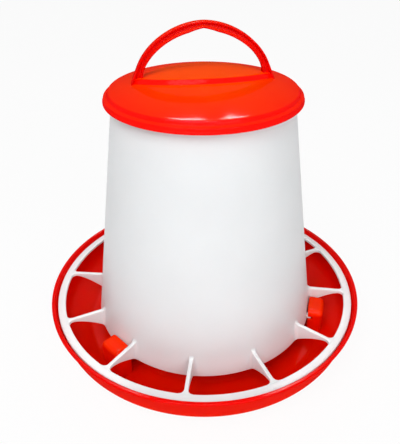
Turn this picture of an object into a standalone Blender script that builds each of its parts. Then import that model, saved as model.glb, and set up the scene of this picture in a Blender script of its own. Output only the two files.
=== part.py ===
"""Hopper feeder for poultry: a feed tray, a tapered hopper moulded in one with its
guard ring and fins, and a domed lid with an arched carrying handle.

Units are metres, +Z is up, and the origin is the middle of the tray's underside.
The fins, posts and handle stand at the angles given below, with -Y towards the viewer.
"""

import math

import bmesh
import bpy
from mathutils import Matrix

mm = 0.001

# Turned shapes share one number of steps, a multiple of the fin count
turn_steps = 60
small_corner_steps = 1
large_corner_steps = 3
large_corner_radius = 3.0 * mm
weld_distance = 0.00001

# Clearance between pieces that rest on each other
clearance = 0.3 * mm

# Hopper wall, a cone open at both ends
hopper_foot_radius = 105.85 * mm
hopper_rim_radius = 72.9 * mm
hopper_length = 215.2 * mm
hopper_wall = 1.6 * mm
hopper_edge_rounding = 0.5 * mm
feed_gap_height = 20.5 * mm

# Guard ring and the fins that carry it, moulded on the hopper's foot
ring_inner_radius = 137.6 * mm
ring_width = 7.1 * mm
ring_thickness = 3.0 * mm
ring_rounding = 0.8 * mm
ring_rise = 17.5 * mm
fin_count = 12
fin_first_angle = math.radians(-6.4)
fin_thickness = 3.3 * mm
fin_root_rise = 1.0 * mm
fin_root_rounding = 3.1 * mm
fin_root_steps = 3
fin_top_rounding = 4.0 * mm
fin_top_sink = 0.1 * mm
fin_end_depth = 3.2 * mm
fin_toe_rise = 0.5 * mm
fin_arch_share = 0.85
fin_arch_power = 1.45
fin_arch_steps = 6
window_corner_radius = 4.5 * mm
window_corner_steps = 5
window_arc_steps = 8

# Bayonet between the hopper's foot and the tray's posts
post_count = 3
post_first_angle = math.radians(-15.0)
post_gap = 0.5 * mm
post_depth = 13.5 * mm
post_width = 26.0 * mm
post_rise = 12.1 * mm
post_foot_sink = 0.2 * mm
post_shoulder_rounding = 5.5 * mm
post_face_rounding = 4.8 * mm
post_bevel_steps = 4
foot_lug_angle_from_post = math.radians(-4.7)
foot_lug_width = 5.5 * mm
foot_lug_reach = 3.8 * mm
foot_lug_height = 3.2 * mm
foot_lug_rise = 2.2 * mm
lug_rounding = 0.5 * mm
slot_headroom = 0.6 * mm
slot_gap = 0.8 * mm

# Feed tray: cone, trough and sloping wall with a rim round the guard ring
tray_wall = 2.2 * mm
tray_ring_gap = 1.3 * mm
rim_rise = 3.7 * mm
rim_lip_width = 1.8 * mm
rim_lip_height = 2.6 * mm
rim_rounding = 0.9 * mm
knuckle_height = 14.2 * mm
knuckle_inset = 6.0 * mm
knuckle_rounding = 15.0 * mm
trough_outer_radius = 117.5 * mm
trough_corner_rounding = 9.0 * mm
cone_foot_inset = 8.7 * mm
cone_foot_rounding = 6.0 * mm
cone_height = 60.0 * mm
cone_tip_radius = 9.0 * mm
cone_tip_drop = 1.2 * mm

# Bayonet between the hopper's rim and the lid's skirt
rim_lug_count = 3
rim_lug_first_angle = math.radians(75.0)
rim_lug_width = 10.0 * mm
rim_lug_reach = 3.5 * mm
rim_lug_height = 1.8 * mm
rim_lug_drop = 3.1 * mm
shelf_angle_from_lug = math.radians(-22.0)
shelf_width = 13.0 * mm
shelf_thickness = 1.1 * mm
shelf_inset = 0.1 * mm
shelf_gap = 1.0 * mm
shelf_stop_width = 1.6 * mm

# Lid: a dome on a rounded shoulder, a neck, a flared skirt and an edge bead
lid_wall = 1.8 * mm
lid_shoulder_overhang = 3.3 * mm
lid_neck_overhang = 3.6 * mm
lid_skirt_overhang = 6.9 * mm
lid_bead_proud = 0.4 * mm
lid_bead_height = 2.0 * mm
lid_skirt_height = 4.3 * mm
lid_neck_rise = 1.4 * mm
lid_shoulder_rise = 2.6 * mm
lid_shoulder_rounding = 3.2 * mm
lid_neck_rounding = 1.0 * mm
lid_skirt_rounding = 0.9 * mm
lid_edge_rounding = 0.5 * mm
lid_seat_width = 3.6 * mm
dome_rise = 10.9 * mm
dome_power = 1.85
dome_steps = 7
underside_steps = 4

# Low land on the dome between the handle's feet, its outline two crossing arcs
land_half_width = 27.0 * mm
land_rise = 2.5 * mm
land_sink = 0.9 * mm
land_arc_steps = 14

# Handle: an arch of I section with a shallow hanging notch under its crown
handle_angle = math.radians(8.0)
handle_half_span = 54.4 * mm
handle_height = 44.3 * mm
handle_power = 1.84
handle_inner_power = 1.81
handle_leg_depth = 5.8 * mm
handle_crown_depth = 6.7 * mm
handle_width = 7.0 * mm
handle_web = 2.4 * mm
handle_flange = 1.6 * mm
handle_flare = 1.6 * mm
handle_flare_height = 4.5 * mm
handle_root_length = 6.0 * mm
handle_notch_rise = 1.6 * mm
handle_notch_half_width = 11.0 * mm
handle_steps = 36

# Overrun of cutters past the faces that they cut
overrun = 5.0 * mm

# Heights and radii that follow from the values above
hopper_foot_z = feed_gap_height
hopper_rim_z = hopper_foot_z + hopper_length
hopper_taper = (hopper_foot_radius - hopper_rim_radius) / hopper_length
ring_top_z = hopper_foot_z + ring_rise
ring_outer_radius = ring_inner_radius + ring_width
tray_inner_radius = ring_outer_radius + tray_ring_gap
tray_top_z = ring_top_z + rim_rise
cone_foot_radius = hopper_foot_radius - cone_foot_inset
foot_lug_z = hopper_foot_z + foot_lug_rise
rim_lug_z = hopper_rim_z - rim_lug_drop - rim_lug_height
shelf_z = rim_lug_z - clearance - shelf_thickness
lid_edge_z = shelf_z - shelf_inset
lid_seat_z = hopper_rim_z + clearance
lid_skirt_radius = hopper_rim_radius + lid_skirt_overhang
lid_neck_radius = hopper_rim_radius + lid_neck_overhang
lid_shoulder_radius = hopper_rim_radius + lid_shoulder_overhang
lid_neck_z = lid_edge_z + lid_skirt_height + lid_neck_rise
lid_shoulder_z = lid_neck_z + lid_shoulder_rise


def hopper_radius(z):
    """Outer radius of the hopper's wall at height z."""
    return hopper_foot_radius - hopper_taper * (z - hopper_foot_z)


def dome_z(radius):
    """Height of the lid's outer dome at a radius."""
    return lid_shoulder_z + dome_rise * (1 - (radius / lid_shoulder_radius) ** dome_power)


def clear_scene():
    for item in list(bpy.data.objects):
        bpy.data.objects.remove(item, do_unlink=True)


def make_collection(name):
    collection = bpy.data.collections.new(name)
    bpy.context.scene.collection.children.link(collection)
    return collection


def make_material(name, colour, roughness):
    material = bpy.data.materials.new(name)
    material.use_nodes = True
    shader = material.node_tree.nodes["Principled BSDF"]
    shader.inputs["Base Color"].default_value = (*colour, 1.0)
    shader.inputs["Roughness"].default_value = roughness
    shader.inputs["Metallic"].default_value = 0.0
    return material


def fillet(before, corner, after, share_before, share_after):
    """Arc that rounds a corner, with no more than its share of the straight runs beside it."""
    radius = corner[2]
    steps = large_corner_steps if radius >= large_corner_radius else small_corner_steps
    to_before = (before[0] - corner[0], before[1] - corner[1])
    to_after = (after[0] - corner[0], after[1] - corner[1])
    length_before = math.hypot(*to_before)
    length_after = math.hypot(*to_after)
    unit_before = (to_before[0] / length_before, to_before[1] / length_before)
    unit_after = (to_after[0] / length_after, to_after[1] / length_after)
    dot = unit_before[0] * unit_after[0] + unit_before[1] * unit_after[1]
    half = math.acos(max(-1.0, min(1.0, dot))) / 2
    reach = min(radius / math.tan(half), length_before * share_before,
                length_after * share_after)
    bisector = (unit_before[0] + unit_after[0], unit_before[1] + unit_after[1])
    size = math.hypot(*bisector)
    middle_distance = reach / math.cos(half)
    centre = (corner[0] + bisector[0] / size * middle_distance,
              corner[1] + bisector[1] / size * middle_distance)
    start = (corner[0] + unit_before[0] * reach, corner[1] + unit_before[1] * reach)
    end = (corner[0] + unit_after[0] * reach, corner[1] + unit_after[1] * reach)
    start_angle = math.atan2(start[1] - centre[1], start[0] - centre[0])
    sweep = math.atan2(end[1] - centre[1], end[0] - centre[0]) - start_angle
    sweep = (sweep + math.pi) % math.tau - math.pi
    arc_radius = math.hypot(start[0] - centre[0], start[1] - centre[1])
    return [(centre[0] + arc_radius * math.cos(start_angle + sweep * i / steps),
             centre[1] + arc_radius * math.sin(start_angle + sweep * i / steps))
            for i in range(steps + 1)]


def rounded(corners, closed):
    """Outline through corners given as (x, y, radius), with each radius as an arc."""
    points = []
    count = len(corners)
    for i, (x, y, radius) in enumerate(corners):
        is_end = not closed and i in (0, count - 1)
        if radius == 0 or is_end:
            points.append((x, y))
            continue
        before = corners[i - 1]
        after = corners[(i + 1) % count]
        share_before = radius / (radius + before[2])
        share_after = radius / (radius + after[2])
        points.extend(fillet(before, corners[i], after, share_before, share_after))
    return points


def turned(name, outline, closed, collection):
    """Solid of revolution about Z from an outline of (radius, z) that runs down outside."""
    mesh = bpy.data.meshes.new(name)
    count = len(outline)
    edges = [(i, i + 1) for i in range(count - 1)]
    if closed:
        edges.append((count - 1, 0))
    mesh.from_pydata([(radius, 0.0, z) for radius, z in outline], edges, [])
    solid = bpy.data.objects.new(name, mesh)
    collection.objects.link(solid)
    screw = solid.modifiers.new("Turn", "SCREW")
    screw.axis = "Z"
    screw.angle = math.tau
    screw.steps = turn_steps
    screw.render_steps = turn_steps
    screw.use_merge_vertices = True
    screw.merge_threshold = weld_distance
    screw.use_smooth_shade = True
    return solid


def extruded_mesh(name, outline, thickness):
    """Closed mesh of a flat outline in XY, given a thickness along Z about its middle."""
    curve = bpy.data.curves.new(name, "CURVE")
    curve.dimensions = "2D"
    curve.fill_mode = "BOTH"
    curve.extrude = thickness / 2
    spline = curve.splines.new("POLY")
    spline.points.add(len(outline) - 1)
    for point, (x, y) in zip(spline.points, outline):
        point.co = (x, y, 0.0, 1.0)
    spline.use_cyclic_u = True
    sketch = bpy.data.objects.new(name, curve)
    bpy.context.scene.collection.objects.link(sketch)
    evaluated = sketch.evaluated_get(bpy.context.evaluated_depsgraph_get())
    mesh = bpy.data.meshes.new_from_object(evaluated)
    bpy.data.objects.remove(sketch, do_unlink=True)
    weld_mesh(mesh)
    return mesh


def weld_mesh(mesh):
    work = bmesh.new()
    work.from_mesh(mesh)
    bmesh.ops.remove_doubles(work, verts=work.verts, dist=weld_distance)
    bmesh.ops.recalc_face_normals(work, faces=work.faces)
    work.to_mesh(mesh)
    work.free()


def block_mesh(name, size, centre, rounding):
    """Block of a size (x, y, z) about a centre, with its edges bevelled."""
    work = bmesh.new()
    bmesh.ops.create_cube(work, size=1.0, matrix=Matrix.Diagonal((*size, 1.0)))
    bmesh.ops.bevel(work, geom=work.edges[:], offset=rounding, segments=1, profile=0.5,
                    affect="EDGES", clamp_overlap=True)
    bmesh.ops.translate(work, verts=work.verts, vec=centre)
    mesh = bpy.data.meshes.new(name)
    work.to_mesh(mesh)
    work.free()
    return mesh


def post_mesh(size, centre):
    """Post of a size (x, y, z): round shoulders on both sides, then a rounded outer face."""
    work = bmesh.new()
    bmesh.ops.create_cube(work, size=1.0, matrix=Matrix.Diagonal((*size, 1.0)))
    shoulders = [edge for edge in work.edges
                 if all(v.co.z > 0 for v in edge.verts)
                 and edge.verts[0].co.y * edge.verts[1].co.y > 0]
    bmesh.ops.bevel(work, geom=shoulders, offset=post_shoulder_rounding,
                    segments=post_bevel_steps, profile=0.5, affect="EDGES", clamp_overlap=True)
    face_x = size[0] / 2 - weld_distance
    foot_z = -size[2] / 2 + weld_distance
    outer_face = [edge for edge in work.edges
                  if all(v.co.x > face_x for v in edge.verts)
                  and any(v.co.z > foot_z for v in edge.verts)]
    bmesh.ops.bevel(work, geom=outer_face, offset=post_face_rounding,
                    segments=post_bevel_steps, profile=0.5, affect="EDGES", clamp_overlap=True)
    bmesh.ops.translate(work, verts=work.verts, vec=centre)
    mesh = bpy.data.meshes.new("post")
    work.to_mesh(mesh)
    work.free()
    return mesh


def round_pattern(name, mesh, first_angle, count, collection):
    """One object of equal copies of a mesh, turned about Z by equal steps."""
    work = bmesh.new()
    for i in range(count):
        turn = Matrix.Rotation(first_angle + math.tau * i / count, 4, "Z")
        copy = mesh.copy()
        copy.transform(turn)
        work.from_mesh(copy)
        bpy.data.meshes.remove(copy)
    pattern = bpy.data.meshes.new(name)
    work.to_mesh(pattern)
    work.free()
    solid = bpy.data.objects.new(name, pattern)
    collection.objects.link(solid)
    return solid


def hide_tool(solid):
    solid.hide_render = True
    solid.display_type = "WIRE"
    return solid


def combine(solid, tool, operation):
    """Boolean of a solid with a tool object, which is kept as a hidden guide."""
    modifier = solid.modifiers.new(f"{operation.title()} {tool.name}", "BOOLEAN")
    modifier.operation = operation
    modifier.solver = "EXACT"
    modifier.object = hide_tool(tool)


def finish(solid, material, smooth_angle):
    """Give a solid its material and smooth shading with sharp edges past an angle."""
    solid.data.materials.clear()
    solid.data.materials.append(material)
    solid.data.shade_smooth()
    solid.data.set_sharp_from_angle(angle=smooth_angle)


def window_outline():
    """Plan of one feeding window: straight sides along two fins, rounded at both ends."""
    pitch = math.tau / fin_count
    half_fin = fin_thickness / 2
    corner_distance = ring_inner_radius - window_corner_radius
    lean = math.asin((half_fin + window_corner_radius) / corner_distance)
    # Root corner: an eighth of a circle off the fin's side, and its slant on into the wall
    root = (hopper_foot_radius + fin_root_rounding, half_fin + fin_root_rounding)
    root_arc = []
    for i in range(fin_root_steps, -1, -1):
        angle = math.pi / 4 * i / fin_root_steps
        root_arc.append((root[0] - fin_root_rounding * math.sin(angle),
                         root[1] - fin_root_rounding * math.cos(angle)))
    slant = hopper_wall + overrun
    points = [(root_arc[0][0] - slant, root_arc[0][1] + slant)] + root_arc
    # First corner: from the fin's side round to the ring's inner edge
    centre = (corner_distance * math.cos(lean), corner_distance * math.sin(lean))
    for i in range(window_corner_steps + 1):
        angle = -math.pi / 2 + (lean + math.pi / 2) * i / window_corner_steps
        points.append((centre[0] + window_corner_radius * math.cos(angle),
                       centre[1] + window_corner_radius * math.sin(angle)))
    for i in range(1, window_arc_steps):
        angle = lean + (pitch - 2 * lean) * i / window_arc_steps
        points.append((ring_inner_radius * math.cos(angle), ring_inner_radius * math.sin(angle)))
    # The other half mirrors the first about the window's middle line
    first_half = points[:-window_arc_steps + 1]
    for x, y in reversed(first_half):
        distance = math.hypot(x, y)
        angle = pitch - math.atan2(y, x)
        points.append((distance * math.cos(angle), distance * math.sin(angle)))
    return points


def lean_roots(window):
    """Lean a window's root corners inwards with height, as the hopper's wall leans."""
    pitch = math.tau / fin_count
    reach = hopper_foot_radius + 2 * fin_root_rounding
    for vertex in window.vertices:
        x, y, z = vertex.co
        if math.hypot(x, y) < reach:
            fin = 0.0 if math.atan2(y, x) < pitch / 2 else pitch
            lean = hopper_taper * (z - hopper_foot_z)
            vertex.co.x -= lean * math.cos(fin)
            vertex.co.y -= lean * math.sin(fin)


def guard_outline():
    """Radial section of the fins and ring: a level top edge over a concave arch."""
    root_z = ring_top_z + fin_root_rise
    fillet_z = root_z + fin_top_rounding
    embed = hopper_wall / 2
    toe_z = hopper_foot_z + fin_toe_rise
    arch_reach = (ring_inner_radius - hopper_foot_radius) * fin_arch_share
    arch_rise = ring_top_z - fin_end_depth - toe_z
    corners = [
        (hopper_radius(fillet_z) - embed, fillet_z, 0),
        (hopper_radius(fillet_z) - fin_top_sink, fillet_z, 0),
        (hopper_radius(root_z) - fin_top_sink, root_z, fin_top_rounding),
        (ring_inner_radius, ring_top_z, 0),
        (ring_outer_radius, ring_top_z, ring_rounding),
        (ring_outer_radius, ring_top_z - ring_thickness, ring_rounding),
        (ring_inner_radius, ring_top_z - ring_thickness, 0),
        (ring_inner_radius - ring_thickness, ring_top_z - fin_end_depth, 0),
    ]
    for i in range(fin_arch_steps, -1, -1):
        share = i / fin_arch_steps
        rise = arch_rise * (1 - (1 - share) ** fin_arch_power)
        corners.append((hopper_foot_radius + arch_reach * share, toe_z + rise, 0))
    corners.append((hopper_foot_radius - embed, toe_z, 0))
    return rounded(corners, True)


def build_hopper(parts, tools, material):
    """The hopper: conical wall, guard ring on twelve fins, foot lugs and rim lugs."""
    rim_inner = hopper_rim_radius - hopper_wall
    foot_inner = hopper_foot_radius - hopper_wall
    wall = rounded([
        (hopper_rim_radius, hopper_rim_z, hopper_edge_rounding),
        (hopper_foot_radius, hopper_foot_z, hopper_edge_rounding),
        (foot_inner, hopper_foot_z, hopper_edge_rounding),
        (rim_inner, hopper_rim_z, hopper_edge_rounding),
    ], True)
    hopper = turned("hopper", wall, True, parts)

    guard = turned("guard_blank", guard_outline(), True, tools)
    depth = fin_root_rise + fin_top_rounding + ring_rise + 2 * overrun
    window = extruded_mesh("window", window_outline(), depth)
    window.transform(Matrix.Translation((0.0, 0.0, hopper_foot_z - overrun + depth / 2)))
    lean_roots(window)
    windows = round_pattern("feeding_windows", window, fin_first_angle, fin_count, tools)
    combine(guard, windows, "DIFFERENCE")
    combine(hopper, guard, "UNION")

    embed = hopper_wall / 2
    lug_root = hopper_radius(foot_lug_z + foot_lug_height) - embed
    lug_tip = hopper_foot_radius + foot_lug_reach
    lug = block_mesh(
        "foot_lug",
        (lug_tip - lug_root, foot_lug_width, foot_lug_height),
        ((lug_tip + lug_root) / 2, 0.0, foot_lug_z + foot_lug_height / 2),
        lug_rounding)
    lug_angle = post_first_angle + foot_lug_angle_from_post
    combine(hopper, round_pattern("foot_lugs", lug, lug_angle, post_count, tools), "UNION")

    rim_lug_radius = hopper_radius(rim_lug_z + rim_lug_height)
    rim_lug = block_mesh(
        "rim_lug",
        (rim_lug_reach + embed, rim_lug_width, rim_lug_height),
        (rim_lug_radius + (rim_lug_reach - embed) / 2, 0.0, rim_lug_z + rim_lug_height / 2),
        lug_rounding)
    combine(hopper, round_pattern("rim_lugs", rim_lug, rim_lug_first_angle, rim_lug_count, tools),
            "UNION")
    finish(hopper, material, math.radians(35))
    return hopper


def tray_outline():
    """Section of the tray from the cone's tip out to the rim and back underneath."""
    lip_radius = tray_inner_radius + tray_wall + rim_lip_width
    wall_radius = tray_inner_radius + tray_wall
    knuckle_radius = wall_radius - knuckle_inset
    inner_knuckle = knuckle_radius - tray_wall
    inner_trough = trough_outer_radius - tray_wall / 2
    lip_z = tray_top_z - rim_lip_height
    tip_z = cone_height
    shoulder_z = tip_z - cone_tip_drop
    corners = [
        (0.0, tip_z, 0),
        (cone_tip_radius, shoulder_z, cone_tip_radius / 2),
        (cone_foot_radius, tray_wall, cone_foot_rounding),
        (inner_trough, tray_wall, trough_corner_rounding),
        (inner_knuckle, knuckle_height + tray_wall / 2, knuckle_rounding),
        (tray_inner_radius, tray_top_z - rim_lip_height, 0),
        (tray_inner_radius + rim_lip_width / 2, tray_top_z, rim_rounding),
        (lip_radius, tray_top_z, rim_rounding),
        (lip_radius, lip_z, rim_rounding),
        (wall_radius, lip_z - rim_lip_width / 2, 0),
        (knuckle_radius, knuckle_height, knuckle_rounding),
        (trough_outer_radius, 0.0, trough_corner_rounding),
        (cone_foot_radius - tray_wall / 2, 0.0, cone_foot_rounding),
        (cone_tip_radius, shoulder_z - tray_wall, cone_tip_radius / 2),
        (0.0, tip_z - tray_wall, 0),
    ]
    return rounded(corners, False)


def build_tray(parts, tools, material):
    """The feed tray: cone, trough, sloping wall and rim, with three bayonet posts."""
    tray = turned("feed_tray", tray_outline(), False, parts)

    post_top = hopper_foot_z + post_rise
    post_foot = tray_wall - post_foot_sink
    inner_face = hopper_foot_radius + post_gap
    post = post_mesh(
        (post_depth, post_width, post_top - post_foot),
        (inner_face + post_depth / 2, 0.0, (post_top + post_foot) / 2))
    combine(tray, round_pattern("posts", post, post_first_angle, post_count, tools), "UNION")

    slot_low = foot_lug_z - clearance
    slot_high = foot_lug_z + foot_lug_height + slot_headroom
    slot_outer = hopper_foot_radius + foot_lug_reach + slot_gap
    slot_inner = inner_face - overrun
    slot = turned("post_slots", [(slot_outer, slot_high), (slot_outer, slot_low),
                                 (slot_inner, slot_low), (slot_inner, slot_high)], True, tools)
    combine(tray, slot, "DIFFERENCE")
    finish(tray, material, math.radians(35))
    return tray


def dome_points(outer_radius, offset, steps):
    """Points down the dome's outer face, moved up by an offset, from the axis outwards."""
    return [(outer_radius * i / steps, dome_z(outer_radius * i / steps) + offset)
            for i in range(steps + 1)]


def lid_outline():
    """Section of the lid from the crown down its outside and back under the dome."""
    skirt_top_z = lid_edge_z + lid_skirt_height
    bead_radius = lid_skirt_radius + lid_bead_proud
    bead_z = lid_edge_z + lid_bead_height
    skirt_inner = lid_skirt_radius - lid_wall
    neck_inner = lid_neck_radius - lid_wall
    seat_outer = hopper_rim_radius + clearance
    seat_inner = seat_outer - lid_seat_width
    outer_dome = dome_points(lid_shoulder_radius, 0.0, dome_steps)
    inner_dome = dome_points(seat_inner, -lid_wall, underside_steps)
    corners = [(radius, z, 0) for radius, z in outer_dome[:-1]]
    corners += [
        (lid_shoulder_radius, lid_shoulder_z, lid_shoulder_rounding),
        (lid_neck_radius, lid_neck_z, lid_neck_rounding),
        (lid_skirt_radius - lid_bead_proud, skirt_top_z, lid_skirt_rounding),
        (lid_skirt_radius, bead_z, 0),
        (bead_radius, bead_z - lid_bead_proud, 0),
        (bead_radius, lid_edge_z, lid_edge_rounding),
        (skirt_inner, lid_edge_z, lid_edge_rounding),
        (skirt_inner, skirt_top_z - lid_wall / 2, lid_skirt_rounding),
        (neck_inner, lid_neck_z - lid_wall / 2, 0),
        (seat_outer, lid_seat_z, 0),
        (seat_inner, lid_seat_z, 0),
    ]
    corners += [(radius, z, 0) for radius, z in reversed(inner_dome)]
    return rounded(corners, False)


def build_land(name, growth, tools):
    """The low land whose tips run under the handle's feet: a lens cut from a domed disc."""
    half_length = handle_half_span - handle_leg_depth / 2 + growth
    half_width = land_half_width + growth
    radius = (half_length ** 2 + half_width ** 2) / (2 * half_width)
    top = dome_points(half_length + overrun, land_rise + growth, dome_steps)
    bottom = dome_points(half_length + overrun, -land_sink, dome_steps)
    disc = turned(name, top + list(reversed(bottom)), False, tools)
    half_angle = math.asin(half_length / radius)
    outline = []
    for side in (-1, 1):
        for i in range(land_arc_steps):
            angle = half_angle * (2 * i / land_arc_steps - 1)
            outline.append((-side * radius * math.sin(angle),
                            side * (radius * math.cos(angle) - radius + half_width)))
    depth = dome_rise + land_rise + land_sink + 2 * overrun
    lens = extruded_mesh(f"{name}_outline", outline, depth)
    lens.transform(Matrix.Translation((0.0, 0.0, lid_shoulder_z + depth / 2 - overrun)))
    lens_tool = bpy.data.objects.new(f"{name}_outline", lens)
    lens_tool.rotation_euler = (0.0, 0.0, handle_angle)
    tools.objects.link(lens_tool)
    combine(disc, lens_tool, "INTERSECT")
    return disc


def build_lid(parts, tools, material):
    """The lid: turned shell, the land on its dome and three bayonet shelves in its skirt."""
    lid = turned("lid", lid_outline(), False, parts)
    combine(lid, build_land("land", 0.0, tools), "UNION")

    skirt_inner = lid_skirt_radius - lid_wall
    shelf_tip = hopper_radius(shelf_z) + shelf_gap
    shelf_root = skirt_inner + lid_wall / 2
    shelf = block_mesh(
        "shelf",
        (shelf_root - shelf_tip, shelf_width, shelf_thickness),
        ((shelf_root + shelf_tip) / 2, 0.0, shelf_z + shelf_thickness / 2),
        shelf_thickness / 4)
    shelf_angle = rim_lug_first_angle + shelf_angle_from_lug
    combine(lid, round_pattern("shelves", shelf, shelf_angle, rim_lug_count, tools), "UNION")

    stop_top = lid_edge_z + lid_skirt_height
    stop_low = shelf_z + shelf_thickness / 2
    stop = block_mesh(
        "shelf_stop",
        (shelf_root - shelf_tip - shelf_gap, shelf_stop_width, stop_top - stop_low),
        ((shelf_root + shelf_tip + shelf_gap) / 2, -(shelf_width - shelf_stop_width) / 2,
         (stop_top + stop_low) / 2),
        shelf_stop_width / 8)
    combine(lid, round_pattern("shelf_stops", stop, shelf_angle, rim_lug_count, tools), "UNION")
    finish(lid, material, math.radians(35))
    return lid


def arch_half(half_span, height, power, flare, inset):
    """Right half of an arch from its foot to its crown, with a flared foot."""
    foot_z = dome_z(handle_half_span)
    points = [(half_span - inset + flare, foot_z - handle_root_length)]
    for i in range(handle_steps // 2 + 1):
        angle = math.pi / 2 * i / (handle_steps // 2)
        along = (half_span - inset) * math.cos(angle) ** (2 / power)
        rise = (height - inset) * math.sin(angle) ** (2 / power)
        spread = max(0.0, 1 - rise / handle_flare_height)
        points.append((along + flare * spread ** 2, foot_z + rise))
    return points


def mirrored(half):
    """A whole outline line from right foot to left foot out of its right half."""
    return half + [(-x, z) for x, z in reversed(half[:-1])]


def handle_outline(inset):
    """Outline of the arch in its own plane; an inset gives the pocket beside the web."""
    outer = arch_half(handle_half_span, handle_height, handle_power, handle_flare, inset)
    inner_span = handle_half_span - handle_leg_depth
    inner_height = handle_height - handle_crown_depth
    inner = arch_half(inner_span, inner_height, handle_inner_power, -handle_flare, -inset)
    inner = [(x, z + handle_notch_rise * max(0.0, 1 - x / handle_notch_half_width))
             for x, z in inner]
    return mirrored(outer) + list(reversed(mirrored(inner)))


def standing_plate(name, outline, thickness, offset, collection):
    """Plate of an outline that stands in the XZ plane, moved along Y by an offset."""
    mesh = extruded_mesh(name, outline, thickness)
    mesh.transform(Matrix.Rotation(math.pi / 2, 4, "X"))
    mesh.transform(Matrix.Translation((0.0, offset, 0.0)))
    plate = bpy.data.objects.new(name, mesh)
    plate.rotation_euler = (0.0, 0.0, handle_angle)
    collection.objects.link(plate)
    return plate


def build_handle(parts, tools, material):
    """The handle: an arch cut to an I section, with feet that follow the dome and land."""
    handle = standing_plate("handle", handle_outline(0), handle_width, 0.0, parts)
    seat = dome_points(lid_shoulder_radius, clearance, 2 * dome_steps)
    seat.append((lid_shoulder_radius, lid_edge_z))
    seat.append((0.0, lid_edge_z))
    combine(handle, turned("handle_seat", seat, False, tools), "DIFFERENCE")
    combine(handle, build_land("land_seat", clearance, tools), "DIFFERENCE")
    pocket_depth = (handle_width - handle_web) / 2
    pocket_offset = handle_web / 2 + (pocket_depth + overrun) / 2
    for side, name in ((-1, "front_pocket"), (1, "back_pocket")):
        pocket = standing_plate(name, handle_outline(handle_flange), pocket_depth + overrun,
                                side * pocket_offset, tools)
        combine(handle, pocket, "DIFFERENCE")
    finish(handle, material, math.radians(35))
    return handle


def main():
    clear_scene()
    parts = make_collection("hopper_feeder")
    tools = make_collection("cutters")
    tray_red = make_material("tray_red", (0.56, 0.008, 0.0), 0.32)
    hopper_white = make_material("hopper_white", (0.80, 0.80, 0.80), 0.38)
    lid_red = make_material("lid_red", (0.72, 0.03, 0.0), 0.28)
    handle_red = make_material("handle_red", (0.70, 0.025, 0.0), 0.30)
    build_tray(parts, tools, tray_red)
    build_hopper(parts, tools, hopper_white)
    build_lid(parts, tools, lid_red)
    build_handle(parts, tools, handle_red)


main()
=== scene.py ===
# Hopper feeder for poultry: red tray, translucent hopper with a guard ring, red lid and handle.
# Every surface is a grid of points worked out with numpy, in metres, in the CAD part's frame.
import math
import bmesh
import bpy
import numpy as np
from mathutils import Matrix, Vector


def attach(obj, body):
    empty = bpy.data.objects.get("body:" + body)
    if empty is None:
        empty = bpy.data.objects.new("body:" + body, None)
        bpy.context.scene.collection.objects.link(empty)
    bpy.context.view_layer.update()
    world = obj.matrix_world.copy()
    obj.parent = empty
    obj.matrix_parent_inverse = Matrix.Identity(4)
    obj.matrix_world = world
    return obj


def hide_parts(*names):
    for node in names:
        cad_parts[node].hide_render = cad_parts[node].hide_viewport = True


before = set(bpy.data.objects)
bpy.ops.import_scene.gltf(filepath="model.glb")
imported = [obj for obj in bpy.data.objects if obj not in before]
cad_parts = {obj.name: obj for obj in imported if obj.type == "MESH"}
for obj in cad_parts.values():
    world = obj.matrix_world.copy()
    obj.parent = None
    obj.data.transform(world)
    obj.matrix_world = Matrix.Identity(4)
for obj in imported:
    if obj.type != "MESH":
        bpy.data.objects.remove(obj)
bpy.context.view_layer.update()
print("frame loaded:", sorted(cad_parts))

mm = 0.001
fullTurn = 2 * math.pi
roundSteps = 360                # grid columns round a turned piece
mergeDistance = 0.002 * mm      # grid points closer than this become one
shortestEdge = 0.0005 * mm      # shorter edges are dissolved


# Colours are sRGB hex, turned to the linear values that shaders take
def linearColour(hexText, alpha=1.0):
    levels = np.array([int(hexText[i:i + 2], 16) for i in (1, 3, 5)]) / 255
    linear = np.where(levels <= 0.04045, levels / 12.92, ((levels + 0.055) / 1.055) ** 2.4)
    return (*linear.tolist(), alpha)


# Adds one shader node: settings are its properties, values its sockets, links what feeds them
def addNode(tree, kind, settings=None, values=None, links=None):
    node = tree.nodes.new(kind)
    for name, value in (settings or {}).items():
        setattr(node, name, value)
    for socket, value in (values or {}).items():
        node.inputs[socket].default_value = value
    for socket, source in (links or {}).items():
        tree.links.new(source, node.inputs[socket])
    return node


# Sets the stops of a colour ramp from a list of (position, sRGB hex)
def setRamp(node, stops):
    ramp = node.color_ramp
    while len(ramp.elements) < len(stops):
        ramp.elements.new(0.5)
    for element, (position, hexText) in zip(ramp.elements, stops):
        element.position = position
        element.color = linearColour(hexText)


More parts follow.
